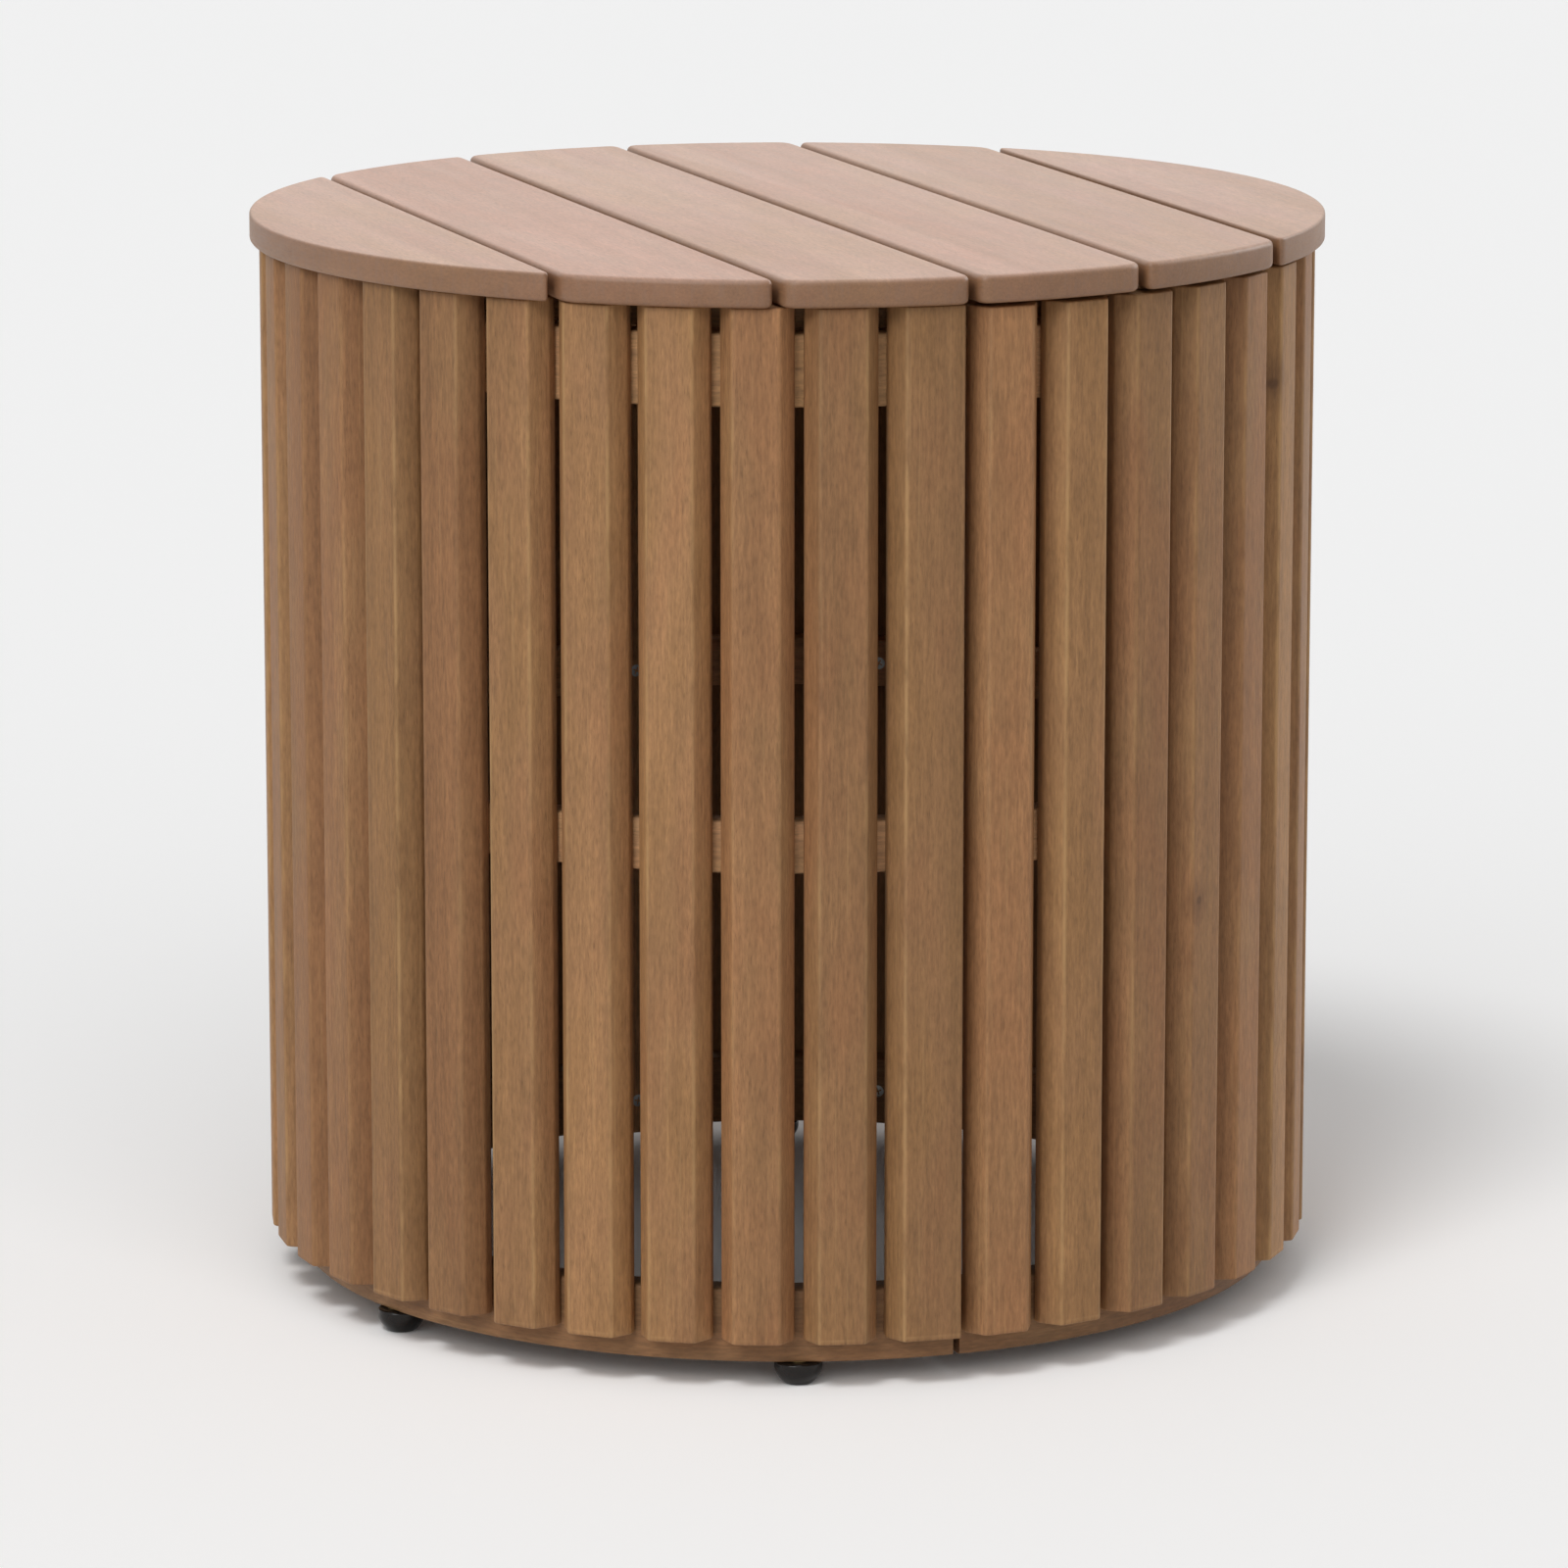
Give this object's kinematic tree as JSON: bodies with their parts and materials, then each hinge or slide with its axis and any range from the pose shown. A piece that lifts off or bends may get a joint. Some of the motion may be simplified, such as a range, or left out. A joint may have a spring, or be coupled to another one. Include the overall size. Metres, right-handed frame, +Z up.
{
  "type": "side table",
  "caption": "Round drum side table in wood: planked top, slatted wall with a curved hinged door onto an open storage space, and screw-adjusted levelling feet.",
  "frame": {"origin": "centre of the round footprint at floor level, feet wound in", "axes": "+Z up, -Y the front, where the door's free edge meets the fixed wall; the door fills the quarter from the front to +X, with its hinges at +X; the top's planks run along Y"},
  "size_m": [0.55, 0.5498, 0.554],
  "materials": {
    "top_wood": "pale oiled hardwood, satin",
    "slat_wood": "light brown oiled hardwood, satin",
    "rail_wood": "light brown oiled hardwood, matt",
    "hinge_brass": "satin",
    "bracket_steel": "zinc plated",
    "stem_steel": "yellow zinc plated thread",
    "black_nylon": "moulded, semi-gloss"
  },
  "bodies": {
    "table_body": {"back_joining_batten": "rail_wood", "back_left_bottom_rail": "rail_wood", "back_left_slat_rack": "slat_wood", "back_left_top_rail": "rail_wood", "back_right_bottom_rail": "rail_wood", "back_right_slat_rack": "slat_wood", "back_right_top_rail": "rail_wood", "front_left_bottom_rail": "rail_wood", "front_left_slat_rack": "slat_wood", "front_left_top_rail": "rail_wood", "left_joining_batten": "rail_wood", "lower_hinge_fixed_leaf": "hinge_brass", "lower_hinge_pin": "hinge_brass", "magnet_catch": "black_nylon", "top_bracket_1": "bracket_steel", "top_bracket_2": "bracket_steel", "top_bracket_3": "bracket_steel", "top_cleat_1": "rail_wood", "top_cleat_2": "rail_wood", "top_cleat_3": "rail_wood", "top_cleat_4": "rail_wood", "top_plank_1": "top_wood", "top_plank_2": "top_wood", "top_plank_3": "top_wood", "top_plank_4": "top_wood", "top_plank_5": "top_wood", "top_plank_6": "top_wood", "upper_hinge_fixed_leaf": "hinge_brass", "upper_hinge_pin": "hinge_brass"},
    "door": {"door_bottom_rail": "rail_wood", "door_middle_rail": "rail_wood", "door_slat_01": "slat_wood", "door_slat_02": "slat_wood", "door_slat_03": "slat_wood", "door_slat_04": "slat_wood", "door_slat_05": "slat_wood", "door_slat_06": "slat_wood", "door_slat_07": "slat_wood", "door_slat_08": "slat_wood", "door_slat_09": "slat_wood", "door_slat_10": "slat_wood", "door_top_rail": "rail_wood", "lower_hinge_door_leaf": "hinge_brass", "strike_plate": "bracket_steel", "upper_hinge_door_leaf": "hinge_brass"},
    "foot_1_pad": {"foot_pad_1": "black_nylon"},
    "foot_1_stem": {"foot_stem_1": "stem_steel"},
    "foot_2_pad": {"foot_pad_2": "black_nylon"},
    "foot_2_stem": {"foot_stem_2": "stem_steel"},
    "foot_3_pad": {"foot_pad_3": "black_nylon"},
    "foot_3_stem": {"foot_stem_3": "stem_steel"},
    "foot_4_pad": {"foot_pad_4": "black_nylon"},
    "foot_4_stem": {"foot_stem_4": "stem_steel"},
    "foot_5_pad": {"foot_pad_5": "black_nylon"},
    "foot_5_stem": {"foot_stem_5": "stem_steel"},
    "foot_6_pad": {"foot_pad_6": "black_nylon"},
    "foot_6_stem": {"foot_stem_6": "stem_steel"}
  },
  "joints": [
    {"name": "door_swing", "type": "hinge", "parent": "table_body", "child": "door", "pos_m": [0.265, 0, 0.277], "axis": [0, 0, 1], "range_deg": [0, 105]},
    {"name": "foot_1_height", "type": "slide", "parent": "table_body", "child": "foot_1_pad", "axis": [0, 0, 1], "range_m": [-0.01, 0]},
    {"name": "foot_1_turn", "type": "hinge", "parent": "foot_1_pad", "child": "foot_1_stem", "pos_m": [0.23396, 0.07602, 0], "axis": [0, 0, 1], "range_deg": [-2881, 0]},
    {"name": "foot_2_height", "type": "slide", "parent": "table_body", "child": "foot_2_pad", "axis": [0, 0, 1], "range_m": [-0.01, 0]},
    {"name": "foot_2_turn", "type": "hinge", "parent": "foot_2_pad", "child": "foot_2_stem", "pos_m": [0.07602, 0.23396, 0], "axis": [0, 0, 1], "range_deg": [-2881, 0]},
    {"name": "foot_3_height", "type": "slide", "parent": "table_body", "child": "foot_3_pad", "axis": [0, 0, 1], "range_m": [-0.01, 0]},
    {"name": "foot_3_turn", "type": "hinge", "parent": "foot_3_pad", "child": "foot_3_stem", "pos_m": [-0.07602, 0.23396, 0], "axis": [0, 0, 1], "range_deg": [-2881, 0]},
    {"name": "foot_4_height", "type": "slide", "parent": "table_body", "child": "foot_4_pad", "axis": [0, 0, 1], "range_m": [-0.01, 0]},
    {"name": "foot_4_turn", "type": "hinge", "parent": "foot_4_pad", "child": "foot_4_stem", "pos_m": [-0.23396, 0.07602, 0], "axis": [0, 0, 1], "range_deg": [-2881, 0]},
    {"name": "foot_5_height", "type": "slide", "parent": "table_body", "child": "foot_5_pad", "axis": [0, 0, 1], "range_m": [-0.01, 0]},
    {"name": "foot_5_turn", "type": "hinge", "parent": "foot_5_pad", "child": "foot_5_stem", "pos_m": [-0.23396, -0.07602, 0], "axis": [0, 0, 1], "range_deg": [-2881, 0]},
    {"name": "foot_6_height", "type": "slide", "parent": "table_body", "child": "foot_6_pad", "axis": [0, 0, 1], "range_m": [-0.01, 0]},
    {"name": "foot_6_turn", "type": "hinge", "parent": "foot_6_pad", "child": "foot_6_stem", "pos_m": [-0.07602, -0.23396, 0], "axis": [0, 0, 1], "range_deg": [-2881, 0]}
  ],
  "couplings": [
    {"joint": "foot_1_turn", "follows": "foot_1_height", "rad_per_m": 5026.5},
    {"joint": "foot_2_turn", "follows": "foot_2_height", "rad_per_m": 5026.5},
    {"joint": "foot_3_turn", "follows": "foot_3_height", "rad_per_m": 5026.5},
    {"joint": "foot_4_turn", "follows": "foot_4_height", "rad_per_m": 5026.5},
    {"joint": "foot_5_turn", "follows": "foot_5_height", "rad_per_m": 5026.5},
    {"joint": "foot_6_turn", "follows": "foot_6_height", "rad_per_m": 5026.5}
  ]
}
